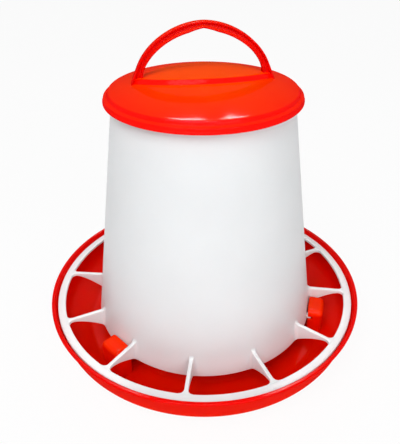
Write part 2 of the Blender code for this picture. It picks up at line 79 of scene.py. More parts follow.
# Points along an outline of (radius, z, rounding) corners: every rounding is a true arc,
# tangent to both straight runs, and long runs get points at even spacing
def roundedPath(corners, closed=False, arcStep=math.radians(11), spacing=5 * mm):
    corners = [np.array(corner, dtype=float) for corner in corners]
    count = len(corners)
    pieces = []
    for i, corner in enumerate(corners):
        point, radius = corner[:2], corner[2]
        isEnd = not closed and i in (0, count - 1)
        if isEnd or radius == 0:
            pieces.append(point[None])
            continue
        before, after = corners[i - 1], corners[(i + 1) % count]
        toBefore, toAfter = before[:2] - point, after[:2] - point
        lengthBefore, lengthAfter = np.linalg.norm(toBefore), np.linalg.norm(toAfter)
        toBefore, toAfter = toBefore / lengthBefore, toAfter / lengthAfter
        half = math.acos(np.clip(toBefore @ toAfter, -1, 1)) / 2
        # Neighbouring roundings share the run between them by their radii
        reach = min(radius / math.tan(half),
                    lengthBefore * radius / (radius + before[2]),
                    lengthAfter * radius / (radius + after[2]))
        bisector = (toBefore + toAfter) / np.linalg.norm(toBefore + toAfter)
        centre = point + bisector * reach / math.cos(half)
        first, last = point + toBefore * reach - centre, point + toAfter * reach - centre
        start = math.atan2(first[1], first[0])
        sweep = (math.atan2(last[1], last[0]) - start + math.pi) % fullTurn - math.pi
        steps = max(2, math.ceil(abs(sweep) / arcStep))
        angles = start + sweep * np.arange(steps + 1) / steps
        arcRadius = np.linalg.norm(first)
        pieces.append(centre + arcRadius * np.stack([np.cos(angles), np.sin(angles)], 1))
    outline = np.concatenate(pieces)
    if closed:
        outline = np.concatenate([outline, outline[:1]])
    runs = np.linalg.norm(np.diff(outline, axis=0), axis=1)
    along = np.concatenate([[0], np.cumsum(runs)])
    extra = [np.linspace(along[i], along[i + 1], math.ceil(run / spacing) + 1)[1:-1]
             for i, run in enumerate(runs) if run > spacing]
    stops = np.unique(np.concatenate([along, *extra]))
    path = np.stack([np.interp(stops, along, outline[:, k]) for k in (0, 1)], 1)
    return path[:-1] if closed else path


# Quads between the points of a grid, joined up where a direction wraps round
def gridFaces(rows, columns, wrapRows, wrapColumns):
    i, j = np.meshgrid(np.arange(rows if wrapRows else rows - 1),
                       np.arange(columns if wrapColumns else columns - 1), indexing="ij")
    nextI, nextJ = (i + 1) % rows, (j + 1) % columns
    return np.stack([i * columns + j, nextI * columns + j,
                     nextI * columns + nextJ, i * columns + nextJ], -1).reshape(-1, 4)


# Makes a closed piece from a grid of points (rows, columns, 3). Open ends are capped,
# points that meet at a pole are merged, and faces are turned to point outwards
def makePiece(name, points, body, material,
              wrapRows=False, wrapColumns=True, capEnds=False, sharpAngle=40):
    rows, columns = points.shape[:2]
    faces = gridFaces(rows, columns, wrapRows, wrapColumns)
    mesh = bpy.data.meshes.new(name)
    mesh.vertices.add(rows * columns)
    mesh.vertices.foreach_set("co", points.reshape(-1).astype(np.float32))
    mesh.loops.add(faces.size)
    mesh.loops.foreach_set("vertex_index", faces.reshape(-1).astype(np.int32))
    mesh.polygons.add(len(faces))
    mesh.polygons.foreach_set("loop_start", np.arange(0, faces.size, 4, dtype=np.int32))
    mesh.update(calc_edges=True)
    work = bmesh.new()
    work.from_mesh(mesh)
    if capEnds:
        bmesh.ops.holes_fill(work, edges=[e for e in work.edges if e.is_boundary])
    bmesh.ops.remove_doubles(work, verts=work.verts, dist=mergeDistance)
    bmesh.ops.dissolve_degenerate(work, edges=work.edges, dist=shortestEdge)
    bmesh.ops.recalc_face_normals(work, faces=work.faces)
    if work.calc_volume(signed=True) < 0:
        bmesh.ops.reverse_faces(work, faces=work.faces)
    work.to_mesh(mesh)
    openEdges = sum(not e.is_manifold for e in work.edges)
    work.free()
    if openEdges:
        print("open edges in", name, openEdges)
    mesh.shade_smooth()
    mesh.set_sharp_from_angle(angle=math.radians(sharpAngle))
    mesh.materials.append(material)
    piece = bpy.data.objects.new(name, mesh)
    bpy.context.scene.collection.objects.link(piece)
    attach(piece, body)
    return piece


# A turned surface: each (radius, z) of the path is carried once round the Z axis
def turnedGrid(path, steps=roundSteps):
    angles = np.arange(steps) * fullTurn / steps
    radius, height = path[:, 0][:, None], path[:, 1][:, None]
    return np.stack([radius * np.cos(angles), radius * np.sin(angles),
                     height + 0 * angles], -1)


# Turns points about the Z axis by an angle in radians
def turnedBy(points, angle):
    cosine, sine = math.cos(angle), math.sin(angle)
    x, y = points[..., 0], points[..., 1]
    return np.stack([x * cosine - y * sine, x * sine + y * cosine, points[..., 2]], -1)


# Smooth step from 0 to 1 as value goes from low to high
def smoothStep(low, high, value):
    share = np.clip((value - low) / (high - low), 0, 1)
    return share * share * (3 - 2 * share)


# Rounded box: the unit circle's points, raised to a low power, fill a square section,
# and sections that shrink the same way towards both ends round off its length
def roundedBoxGrid(size, centre, power=6, steps=32):
    around = np.arange(steps) * fullTurn / steps
    tilt = np.linspace(-math.pi / 2, math.pi / 2, steps // 2 + 1)[:, None]
    squash = lambda value: np.sign(value) * np.abs(value) ** (2 / power)
    x = squash(np.cos(tilt)) * squash(np.cos(around))
    y = squash(np.cos(tilt)) * squash(np.sin(around))
    z = squash(np.sin(tilt)) + 0 * around
    return np.stack([x, y, z], -1) * np.array(size) / 2 + np.array(centre)


# Materials

# A new material, its node tree and its Principled shader with the given socket values
def newPlastic(name, values):
    material = bpy.data.materials.new(name)
    material.use_nodes = True
    tree = material.node_tree
    shader = tree.nodes["Principled BSDF"]
    for socket, value in values.items():
        shader.inputs[socket].default_value = value
    return material, tree, shader


# The fine grain of a moulded skin, as bump from small noise
skinGrain = {
    "spacing": 1.1 * mm,   # real moulded grain is finer, coarsened to show in the render
    "detail": 2.0, "height": 0.1 * mm,
}


def addGrain(tree, shader, place, strength):
    grain = addNode(tree, "ShaderNodeTexNoise",
                    values={"Scale": 1 / skinGrain["spacing"], "Detail": skinGrain["detail"]},
                    links={"Vector": place})
    bump = addNode(tree, "ShaderNodeBump",
                   values={"Strength": strength, "Distance": skinGrain["height"]},
                   links={"Height": grain.outputs["Fac"]})
    tree.links.new(bump.outputs["Normal"], shader.inputs["Normal"])


# Polypropylene, injection moulded and pigmented red: a closed skin with faint flow marks
# from the mould. Its gloss is a thin clear layer, which keeps the red pure where the skin
# is seen at a low angle. The tone runs from deep to bright between two heights: painted
# light, lighter and more orange on the tops of lid, handle and posts, as where light falls
# from above and glows through the thin skin, and lighter low in the tray's shaded inside.
# Where the skin's normal has a Z below the first of the two facing values it has the facing
# tone instead, which has given way at the second: painted light and shade by facing, redder
# on the sides of lid, handle and posts and more orange where the tray's wall faces down
redSkin = {
    "ior": 1.49, "gloss": 0.03, "glossIor": 2.5,
    "glowReach": (1.0, 0.06, 0.02), "glowDepth": 4 * mm,
    "flowMarkSpacing": 22 * mm, "flowDetail": 3.0, "flowRoughness": 0.55,
    "toneDrift": 0.35, "smootherBy": 0.05, "rougherBy": 0.09, "grainStrength": 0.05,
}
# Each finish: deep, main and bright are a painted-light tone ramp by height, and the facing
# tone is painted light and shade by facing
redFinishes = {
    "tray": {"deep": "#F01400", "main": "#EC0800", "bright": "#EA0400",
             "low": 0.0, "high": 42 * mm, "paintedFacingLight": "#F02A00", "paintedFacingBelow": (-0.5, -0.15),
             "roughness": 0.18, "glow": 0.5},
    "post": {"deep": "#F01000", "main": "#F41800", "bright": "#FF2C00",
             "low": 12 * mm, "high": 33 * mm, "paintedFacingLight": "#F41400", "paintedFacingBelow": (0.0, 0.6),
             "roughness": 0.14, "glow": 0.4},
    "lid": {"deep": "#FF2000", "main": "#FF3200", "bright": "#FF4E00",
            "low": 236 * mm, "high": 250 * mm, "paintedFacingLight": "#FF0A00", "paintedFacingBelow": (0.7, 0.965),
            "roughness": 0.08, "glow": 0.0},
    "handle": {"deep": "#FF2000", "main": "#F41C00", "bright": "#FC2C00",
               "low": 243 * mm, "high": 287 * mm, "paintedFacingLight": "#E40600", "paintedFacingBelow": (0.3, 0.9),
               "roughness": 0.20, "glow": 0.0},
}


def redPolypropylene(name, finish):
    material, tree, shader = newPlastic(name, {
        "IOR": redSkin["ior"], "Specular IOR Level": 0.0,
        "Coat Weight": redSkin["gloss"], "Coat IOR": redSkin["glossIor"],
        "Coat Roughness": finish["roughness"],
        "Subsurface Weight": finish["glow"], "Subsurface Radius": redSkin["glowReach"],
        "Subsurface Scale": redSkin["glowDepth"],
    })
    coordinates = addNode(tree, "ShaderNodeTexCoord")
    place = coordinates.outputs["Object"]
    axes = addNode(tree, "ShaderNodeSeparateXYZ", links={"Vector": place})
    # Painted light: the tone ramp by height, lighter and more orange on the tops, lighter low
    # in the tray's shaded inside
    height = addNode(tree, "ShaderNodeMapRange",
                     values={"From Min": finish["low"], "From Max": finish["high"]},
                     links={"Value": axes.outputs["Z"]})
    marks = addNode(tree, "ShaderNodeTexNoise",
                    values={"Scale": 1 / redSkin["flowMarkSpacing"],
                            "Detail": redSkin["flowDetail"],
                            "Roughness": redSkin["flowRoughness"]},
                    links={"Vector": place})
    drift = addNode(tree, "ShaderNodeMath", {"operation": "MULTIPLY_ADD"},
                    values={1: redSkin["toneDrift"], 2: -redSkin["toneDrift"] / 2},
                    links={0: marks.outputs["Fac"]})
    blend = addNode(tree, "ShaderNodeMath", {"operation": "ADD", "use_clamp": True},
                    links={0: height.outputs["Result"], 1: drift.outputs[0]})
    ramp = addNode(tree, "ShaderNodeValToRGB", links={"Fac": blend.outputs[0]})
    setRamp(ramp, [(0.0, finish["deep"]), (0.5, finish["main"]), (1.0, finish["bright"])])
    # Painted light and shade by facing: by the normal's Z, the height tone gives way to the
    # facing tone
    facing = addNode(tree, "ShaderNodeSeparateXYZ",
                     links={"Vector": coordinates.outputs["Normal"]})
    flat = addNode(tree, "ShaderNodeMapRange", {"interpolation_type": "SMOOTHSTEP"},
                   values={"From Min": finish["paintedFacingBelow"][0],
                           "From Max": finish["paintedFacingBelow"][1]},
                   links={"Value": facing.outputs["Z"]})
    tone = addNode(tree, "ShaderNodeMixRGB", values={"Color1": linearColour(finish["paintedFacingLight"])},
                   links={"Fac": flat.outputs["Result"], "Color2": ramp.outputs["Color"]})
    tree.links.new(tone.outputs["Color"], shader.inputs["Base Color"])
    rough = addNode(tree, "ShaderNodeMapRange",
                    values={"To Min": finish["roughness"] - redSkin["smootherBy"],
                            "To Max": finish["roughness"] + redSkin["rougherBy"]},
                    links={"Value": marks.outputs["Fac"]})
    tree.links.new(rough.outputs["Result"], shader.inputs["Roughness"])
    addGrain(tree, shader, place, redSkin["grainStrength"])
    return material


# Polyethylene, injection moulded with no pigment: milky, waxy and translucent, so light
# spreads inside the wall, with a soft wide highlight and faint cloudy flow in the tone
hopperFinish = {
    "shade": "#E8EAEB", "light": "#ECEEEF", "ior": 1.51, "roughness": 0.42,
    "scatterShare": 0.35, "scatterReach": (1.0, 0.9, 0.85), "scatterDepth": 5 * mm,
    "cloudSpacing": 70 * mm, "cloudDetail": 2.0, "grainStrength": 0.04,
}


def naturalPolyethylene(name, finish):
    material, tree, shader = newPlastic(name, {
        "IOR": finish["ior"], "Roughness": finish["roughness"],
        "Subsurface Weight": finish["scatterShare"],
        "Subsurface Radius": finish["scatterReach"],
        "Subsurface Scale": finish["scatterDepth"],
    })
    place = addNode(tree, "ShaderNodeTexCoord").outputs["Object"]
    cloud = addNode(tree, "ShaderNodeTexNoise",
                    values={"Scale": 1 / finish["cloudSpacing"],
                            "Detail": finish["cloudDetail"]},
                    links={"Vector": place})
    ramp = addNode(tree, "ShaderNodeValToRGB", links={"Fac": cloud.outputs["Fac"]})
    setRamp(ramp, [(0.3, finish["shade"]), (0.7, finish["light"])])
    tree.links.new(ramp.outputs["Color"], shader.inputs["Base Color"])
    addGrain(tree, shader, place, finish["grainStrength"])
    return material


trayRed = redPolypropylene("mouldedPolypropyleneTrayRed", redFinishes["tray"])
postRed = redPolypropylene("mouldedPolypropylenePostRed", redFinishes["post"])
lidRed = redPolypropylene("mouldedPolypropyleneLidRed", redFinishes["lid"])
handleRed = redPolypropylene("mouldedPolypropyleneHandleRed", redFinishes["handle"])
hopperNatural = naturalPolyethylene("mouldedPolyethyleneNatural", hopperFinish)
print("materials made")


# Hopper

hopper = {
    "footRadius": 105.85 * mm, "footHeight": 20.5 * mm,
    "rimRadius": 72.9 * mm, "rimHeight": 235.7 * mm,
    "wall": 1.6 * mm, "edgeRounding": 0.7 * mm,
}
guard = {
    "ringInner": 137.6 * mm, "ringOuter": 144.7 * mm, "ringTop": 38.0 * mm,
    "ringThickness": 3.0 * mm, "ringRounding": 0.8 * mm,
    "finCount": 12, "finFirstAngle": math.radians(-6.4), "finThickness": 3.3 * mm,
    "rootRise": 1.0 * mm, "endDepth": 3.2 * mm, "toeRise": 0.5 * mm,
    "archShare": 0.85, "archPower": 1.45, "edgeRounding": 0.6 * mm,
    "ringFillet": 4.5 * mm, "rootFillet": 3.1 * mm, "topFillet": 4.0 * mm,
    "topTaper": 0.75, "taperFrom": 0.6, "topLift": 0.03 * mm,
    "overlap": 1.0 * mm, "overlapEnd": 1.6 * mm, "endDrop": 0.5 * mm, "endLift": 0.6 * mm,
}
posts = {
    "count": 3, "firstAngle": math.radians(-15.0), "gap": 0.5 * mm,
    "depth": 13.5 * mm, "width": 26.0 * mm, "rise": 12.1 * mm, "footSink": 0.2 * mm,
    "shoulderRounding": 5.5 * mm, "faceRounding": 4.8 * mm, "edgeRounding": 0.6 * mm,
    "slotHeadroom": 0.6 * mm, "slotGap": 0.8 * mm, "slotRounding": 0.3 * mm,
    "pointSpacing": 2 * mm,
}
lugs = {
    "angleFromPost": math.radians(-4.7), "width": 5.5 * mm, "reach": 3.8 * mm,
    "height": 3.2 * mm, "rise": 2.2 * mm,
    "rimFirstAngle": math.radians(75.0), "rimWidth": 10.0 * mm, "rimReach": 3.5 * mm,
    "rimHeight": 1.8 * mm, "rimDrop": 3.1 * mm,
}
clearance = 0.3 * mm


def hopperRadius(z):
    share = (z - hopper["footHeight"]) / (hopper["rimHeight"] - hopper["footHeight"])
    return hopper["footRadius"] + (hopper["rimRadius"] - hopper["footRadius"]) * share


# The wall: a thin cone open at both ends, its section a narrow sloping bar
def makeHopperWall():
    inner = hopper["wall"]
    rounding = hopper["edgeRounding"]
    path = roundedPath([
        (hopper["rimRadius"], hopper["rimHeight"], rounding),
        (hopper["footRadius"], hopper["footHeight"], rounding),
        (hopper["footRadius"] - inner, hopper["footHeight"], rounding),
        (hopper["rimRadius"] - inner, hopper["rimHeight"], rounding),
    ], closed=True)
    piece = makePiece("hopperWall", turnedGrid(path), "hopper_body", hopperNatural,
                      wrapRows=True)
    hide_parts("hopper")


# The guard ring: a flat bar with rounded edges, carried once round
def makeGuardRing():
    low = guard["ringTop"] - guard["ringThickness"]
    path = roundedPath([
        (guard["ringOuter"], guard["ringTop"], guard["ringRounding"]),
        (guard["ringOuter"], low, guard["ringRounding"]),
        (guard["ringInner"], low, guard["ringRounding"]),
        (guard["ringInner"], guard["ringTop"], guard["ringRounding"]),
    ], closed=True)
    makePiece("guardRing", turnedGrid(path), "hopper_body", hopperNatural,
              wrapRows=True)


# One fin: an upright section with rounded edges carried outwards from the wall to the
# ring. Its top edge falls slightly and turns up the wall along a quarter circle, its
# underside follows a concave arch, and its sides spread along a quarter circle where
# they run into the wall, which leans, and into the ring, less so towards the top
def finGrid():
    rootFillet, ringFillet, topFillet = (guard[k] for k in ("rootFillet", "ringFillet",
                                                            "topFillet"))
    rootTop = guard["ringTop"] + guard["rootRise"]
    toe = hopper["footHeight"] + guard["toeRise"]
    lean = math.atan2(hopper["footRadius"] - hopper["rimRadius"],
                      hopper["rimHeight"] - hopper["footHeight"])
    bend = np.linspace(0, math.pi / 2, 11)
    fromWall = 1 - np.cos(bend)
    ringEnd = guard["ringInner"]

    def stations(wallRadius):
        middle = np.linspace(wallRadius + rootFillet, ringEnd - ringFillet, 16)[1:-1]
        return np.concatenate([[wallRadius - hopper["wall"] / 2],
                               wallRadius + rootFillet * fromWall, middle,
                               ringEnd - ringFillet * fromWall[::-1],
                               [ringEnd + guard["overlap"], ringEnd + guard["overlapEnd"]]])

    # Top edge: a line from the wall to the ring, with a circle's arc where it meets the wall
    arcRadius = hopperRadius(rootTop + topFillet) + topFillet / math.cos(lean)
    topStart = arcRadius - topFillet * math.cos(lean)
    topR = stations(topStart)
    slope = guard["rootRise"] / (ringEnd - hopperRadius(rootTop))
    top = guard["ringTop"] + slope * (ringEnd - topR).clip(0)
    intoArc = (arcRadius - topR).clip(0, topFillet * math.cos(lean))
    top += topFillet - np.sqrt(topFillet ** 2 - intoArc ** 2) + guard["topLift"]
    top[-1] -= guard["endDrop"]
    # Lower edge: a power curve from the toe to the ring's underside
    bottomR = stations(hopperRadius(toe))
    archEnd = guard["ringTop"] - guard["endDepth"]
    archReach = (ringEnd - hopper["footRadius"]) * guard["archShare"]
    inArch = np.clip((bottomR - hopper["footRadius"]) / archReach, 0, 1)
    bottom = toe + (archEnd - toe) * (1 - (1 - inArch) ** guard["archPower"])
    bottom += guard["endLift"] * smoothStep(ringEnd - guard["overlap"],
                                            ringEnd + guard["overlap"], bottomR)
    # Round the section: quarter circles at its four edges, straight runs up its sides
    rounding = guard["edgeRounding"]
    turn = np.linspace(0, math.pi / 2, 6)
    height = (top - bottom)[:, None]
    up = np.concatenate([rounding * (1 - np.cos(turn)) + 0 * height,
                         rounding + (height - 2 * rounding) * np.linspace(0, 1, 8)[1:-1],
                         height - rounding * (1 - np.cos(turn[::-1]))], 1)
    inset = np.concatenate([rounding * (1 - np.sin(turn)), np.zeros(6),
                            rounding * (1 - np.sin(turn[::-1]))])
    share = up / height
    z = bottom[:, None] + up
    radius = bottomR[:, None] + (topR - bottomR)[:, None] * share
    toWall = (1 - (radius - hopperRadius(z)) / rootFillet).clip(0, 1)
    toRing = (1 - (ringEnd - radius) / ringFillet).clip(0, 1)
    rootSpread = rootFillet * (1 - guard["topTaper"] * smoothStep(guard["taperFrom"], 1, share))
    half = (guard["finThickness"] / 2 - inset + rootSpread * (1 - np.sqrt(1 - toWall ** 2))
            + ringFillet * (1 - np.sqrt(1 - toRing ** 2)))
    right = np.stack([radius, half, z], -1)
    return np.concatenate([right, right[:, ::-1] * (1, -1, 1)], 1)


def makeFins():
    grid = finGrid()
    for i in range(guard["finCount"]):
        angle = guard["finFirstAngle"] + fullTurn * i / guard["finCount"]
        makePiece(f"fin{i + 1:02d}", turnedBy(grid, angle), "hopper_body",
                  hopperNatural, capEnds=True, sharpAngle=60)


# Small lugs that lock into the posts at the foot and under the lid's shelves at the rim
def makeLugs():
    embed = hopper["wall"] / 2
    footZ = hopper["footHeight"] + lugs["rise"] + lugs["height"] / 2
    tip = hopper["footRadius"] + lugs["reach"]
    root = hopperRadius(footZ + lugs["height"] / 2) - embed
    foot = roundedBoxGrid((tip - root, lugs["width"], lugs["height"]),
                          ((tip + root) / 2, 0, footZ))
    rimZ = hopper["rimHeight"] - lugs["rimDrop"] - lugs["rimHeight"] / 2
    rim = roundedBoxGrid((lugs["rimReach"] + embed, lugs["rimWidth"], lugs["rimHeight"]),
                         (hopperRadius(rimZ) + (lugs["rimReach"] - embed) / 2, 0, rimZ))
    for i in range(posts["count"]):
        step = fullTurn * i / posts["count"]
        footAngle = posts["firstAngle"] + lugs["angleFromPost"] + step
        makePiece(f"footLug{i + 1}", turnedBy(foot, footAngle), "hopper_body",
                  hopperNatural)
        makePiece(f"rimLug{i + 1}", turnedBy(rim, lugs["rimFirstAngle"] + step),
                  "hopper_body", hopperNatural)


makeHopperWall()
makeGuardRing()
makeFins()
makeLugs()
print("hopper made")


# Tray

tray = {
    "wall": 2.2 * mm, "innerRadius": 146.0 * mm, "top": 41.7 * mm,
    "lipWidth": 1.8 * mm, "lipHeight": 2.6 * mm, "rimRounding": 0.9 * mm,
    "lipFootRounding": 0.4 * mm,
    "kneeHeight": 14.2 * mm, "kneeInset": 6.0 * mm, "kneeRounding": 15.0 * mm,
    "troughRadius": 117.5 * mm, "troughRounding": 9.0 * mm,
    "coneFoot": 97.15 * mm, "coneFootRounding": 6.0 * mm,
    "coneHeight": 60.0 * mm, "coneTip": 9.0 * mm, "coneTipDrop": 1.2 * mm,
}


# The shell: cone, trough, sloping wall and rolled rim, and the same way back underneath
def makeTrayShell():
    wall = tray["wall"]
    outer = tray["innerRadius"] + wall
    lip = outer + tray["lipWidth"]
    lipZ = tray["top"] - tray["lipHeight"]
    knee = outer - tray["kneeInset"]
    shoulderZ = tray["coneHeight"] - tray["coneTipDrop"]
    tipRounding = tray["coneTip"] / 2
    path = roundedPath([
        (0, tray["coneHeight"], 0),
        (tray["coneTip"], shoulderZ, tipRounding),
        (tray["coneFoot"], wall, tray["coneFootRounding"]),
        (tray["troughRadius"] - wall / 2, wall, tray["troughRounding"]),
        (knee - wall, tray["kneeHeight"] + wall / 2, tray["kneeRounding"]),
        (tray["innerRadius"], lipZ, 0),
        (tray["innerRadius"] + tray["lipWidth"] / 2, tray["top"], tray["rimRounding"]),
        (lip, tray["top"], tray["rimRounding"]),
        (lip, lipZ, tray["rimRounding"]),
        (outer, lipZ - tray["lipWidth"] / 2, tray["lipFootRounding"]),
        (knee, tray["kneeHeight"], tray["kneeRounding"]),
        (tray["troughRadius"], 0, tray["troughRounding"]),
        (tray["coneFoot"] - wall / 2, 0, tray["coneFootRounding"]),
        (tray["coneTip"], shoulderZ - wall, tipRounding),
        (0, tray["coneHeight"] - wall, 0),
    ])
    piece = makePiece("trayShell", turnedGrid(path), "tray", trayRed)
    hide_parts("feed_tray")


# One post: a section with a slot in its inner face, carried across its width. Above the
# slot the inner face leans with the hopper's wall. The top falls along a quarter circle at
# both shoulders. The outer face is drawn back along a quarter circle by each point's
# distance from the face's outline
def postGrid():
    inner = hopper["footRadius"] + posts["gap"]
    outer = inner + posts["depth"]
    top = hopper["footHeight"] + posts["rise"]
    low = tray["wall"] - posts["footSink"]
    slotLow = hopper["footHeight"] + lugs["rise"] - clearance
    slotHigh = slotLow + clearance + lugs["height"] + posts["slotHeadroom"]
    slotRadius = hopper["footRadius"] + lugs["reach"] + posts["slotGap"]
    shoulder, face, edge = (posts[k] for k in ("shoulderRounding", "faceRounding",
                                               "edgeRounding"))
    half = posts["width"] / 2
    bend = np.linspace(0, math.pi / 2, 15)
    ends = half - shoulder * (1 - np.cos(bend))
    flat = np.linspace(-ends[-1], ends[-1], 7)[1:-1]
    across = np.concatenate([-ends, flat, ends[::-1]])[:, None]
    pastShoulder = (np.abs(across) - (half - shoulder)).clip(0, shoulder)
    crest = top - shoulder + np.sqrt(shoulder ** 2 - pastShoulder ** 2)
    # Inner side, up through the slot to the crest
    slotEdge = posts["slotRounding"]
    innerSide = roundedPath([
        (inner, low, 0), (inner, slotLow, slotEdge), (slotRadius, slotLow, slotEdge),
        (slotRadius, slotHigh, slotEdge), (inner, slotHigh, slotEdge), (inner, top, edge),
        (inner + 2 * edge, top, 0),
    ], spacing=posts["pointSpacing"])
    overSlot = (innerSide[:, 1] - slotHigh) / (top - slotHigh)
    innerZ = np.where(overSlot > 0, slotHigh + overSlot * (crest - slotHigh), innerSide[:, 1])
    lean = hopperRadius(np.maximum(innerZ, slotHigh)) - hopperRadius(slotHigh)
    innerR = innerSide[:, 0] + lean
    # Crest, then down the outer face
    crestR = innerR[:, -1:] + (outer - face - innerR[:, -1:]) * np.linspace(0, 1, 7)[1:-1]
    bend = np.linspace(0, math.pi / 2, 13)
    faceTop = crest - face * (1 - np.cos(bend))
    outerZ = np.concatenate([faceTop, faceTop[:, -1:] + (low - faceTop[:, -1:])
                             * np.linspace(0, 1, 8)[1:]], 1)
    sideways = np.abs(across) - (half - shoulder)
    upwards = outerZ - (top - shoulder)
    depth = (shoulder - np.hypot(sideways.clip(0), upwards.clip(0))
             - np.minimum(np.maximum(sideways, upwards), 0)).clip(0, face)
    outerR = outer - face + np.sqrt(face ** 2 - (face - depth) ** 2)
    radius = np.concatenate([innerR, crestR, outerR], 1)
    height = np.concatenate([innerZ, crest + 0 * crestR, outerZ], 1)
    return np.stack([radius, across + 0 * radius, height], -1)


def makePosts():
    grid = postGrid()
    for i in range(posts["count"]):
        angle = posts["firstAngle"] + fullTurn * i / posts["count"]
        makePiece(f"post{i + 1}", turnedBy(grid, angle), "tray", postRed,
                  capEnds=True, sharpAngle=50)


makeTrayShell()
makePosts()
print("tray made")


# Lid

lid = {
    "wall": 1.8 * mm, "edge": 229.3 * mm, "skirtHeight": 4.3 * mm,
    "skirtRadius": 79.8 * mm, "neckRadius": 76.5 * mm, "shoulderRadius": 76.2 * mm,
    "beadProud": 0.4 * mm, "beadHeight": 2.0 * mm, "beadRounding": 0.2 * mm,
    "neckRise": 1.4 * mm, "shoulderRise": 2.6 * mm,
    "shoulderRounding": 3.2 * mm, "neckRounding": 1.0 * mm, "skirtRounding": 0.9 * mm,
    "edgeRounding": 0.5 * mm, "seatWidth": 3.6 * mm, "domeRise": 10.9 * mm,
    "domePower": 1.85, "landHalfWidth": 27.0 * mm, "landHalfLength": 57.0 * mm,
    "landRise": 3.4 * mm, "landRun": 4.5 * mm, "landSink": 0.6 * mm,
    "landRunShare": 0.6, "landSteepest": 3,
    "shelfAngle": math.radians(53.0), "shelfWidth": 13.0 * mm, "shelfThickness": 1.1 * mm,
    "shelfInset": 0.1 * mm, "shelfGap": 1.0 * mm, "stopWidth": 1.6 * mm,
}
handle = {
    "angle": math.radians(8.0), "halfSpan": 54.4 * mm, "height": 44.3 * mm,
    "power": 1.84, "innerPower": 1.81, "legDepth": 5.8 * mm, "crownDepth": 6.7 * mm,
    "width": 6.4 * mm, "web": 2.4 * mm, "flange": 1.6 * mm, "flare": 2.4 * mm,
    "flareHeight": 13.0 * mm, "footSpread": 1.2 * mm,
    "notchRise": 1.6 * mm, "notchHalfWidth": 11.0 * mm,
    "sink": 0.9 * mm, "rootLength": 6 * mm, "webFillet": 0.12,
}
shoulderZ = lid["edge"] + lid["skirtHeight"] + lid["neckRise"] + lid["shoulderRise"]


def domeHeight(radius):
    share = (radius / lid["shoulderRadius"]) ** lid["domePower"]
    return shoulderZ + lid["domeRise"] * (1 - share)


# The land: across each line over its length lies a low raised section that follows the
# dome in the middle and falls along a soft slope at both sides. Its half width follows two
# crossing arcs, so both ends run out to a point under the handle's feet
def makeLand():
    length, width = lid["landHalfLength"], lid["landHalfWidth"]
    arc = (length ** 2 + width ** 2) / (2 * width)
    along = length * np.sin(np.linspace(-math.pi / 2, math.pi / 2, 121))[:, None]
    half = (np.sqrt((arc ** 2 - along ** 2).clip(0)) - (arc - width)).clip(0)
    run = np.minimum(lid["landRun"], lid["landRunShare"] * half)
    steps = np.linspace(0, 1, 13)
    inside = run * steps
    middle = (half - run) * np.linspace(1, 0, 24)[1:-1]
    rightTop = np.concatenate([half - inside, middle], 1)
    rise = np.concatenate([smoothStep(0, 1, steps) * lid["landRise"] + 0 * half,
                           lid["landRise"] + 0 * middle], 1)
    rise = np.minimum(rise, lid["landSteepest"] * half)
    across = np.concatenate([rightTop, -rightTop[:, ::-1], -half, half * 0, half], 1)
    lift = np.concatenate([rise, rise[:, ::-1]] + 3 * [-lid["landSink"] + 0 * half], 1)
    radius = np.hypot(along, across)
    grid = np.stack([along + 0 * across, across, domeHeight(radius) + lift], -1)
    makePiece("lidLand", turnedBy(grid, handle["angle"]), "lid_body", lidRed,
              sharpAngle=60)


# The lid: dome, shoulder, neck, flared skirt with a bead, and back under the dome to the
# seat on the hopper's rim
def makeLidShell():
    skirtTop = lid["edge"] + lid["skirtHeight"]
    neckZ = skirtTop + lid["neckRise"]
    bead = lid["skirtRadius"] + lid["beadProud"]
    beadZ = lid["edge"] + lid["beadHeight"]
    wall = lid["wall"]
    seatOuter = hopper["rimRadius"] + clearance
    seatInner = seatOuter - lid["seatWidth"]
    seatZ = hopper["rimHeight"] + clearance
    fine = np.linspace(0, lid["shoulderRadius"], 97)[:-4]
    under = np.linspace(0, seatInner, 30)
    top = np.stack([fine, domeHeight(fine)], 1)
    skin = roundedPath([
        (*top[-1], 0),
        (lid["shoulderRadius"], shoulderZ, lid["shoulderRounding"]),
        (lid["neckRadius"], neckZ, lid["neckRounding"]),
        (lid["skirtRadius"] - lid["beadProud"], skirtTop, lid["skirtRounding"]),
        (lid["skirtRadius"], beadZ, lid["beadRounding"]),
        (bead, beadZ - lid["beadProud"], lid["beadRounding"]),
        (bead, lid["edge"], lid["edgeRounding"]),
        (lid["skirtRadius"] - wall, lid["edge"], lid["edgeRounding"]),
        (lid["skirtRadius"] - wall, skirtTop - wall / 2, lid["skirtRounding"]),
        (lid["neckRadius"] - wall, neckZ - wall / 2, 0),
        (seatOuter, seatZ, 0),
        (seatInner, seatZ, 0),
        (seatInner, float(domeHeight(seatInner)) - wall, 0),
    ], arcStep=math.radians(9))
    back = np.stack([under[::-1], domeHeight(under[::-1]) - wall], 1)
    path = np.concatenate([top[:-1], skin, back[1:]])
    piece = makePiece("lidShell", turnedGrid(path), "lid_body", lidRed, sharpAngle=35)
    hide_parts("lid")


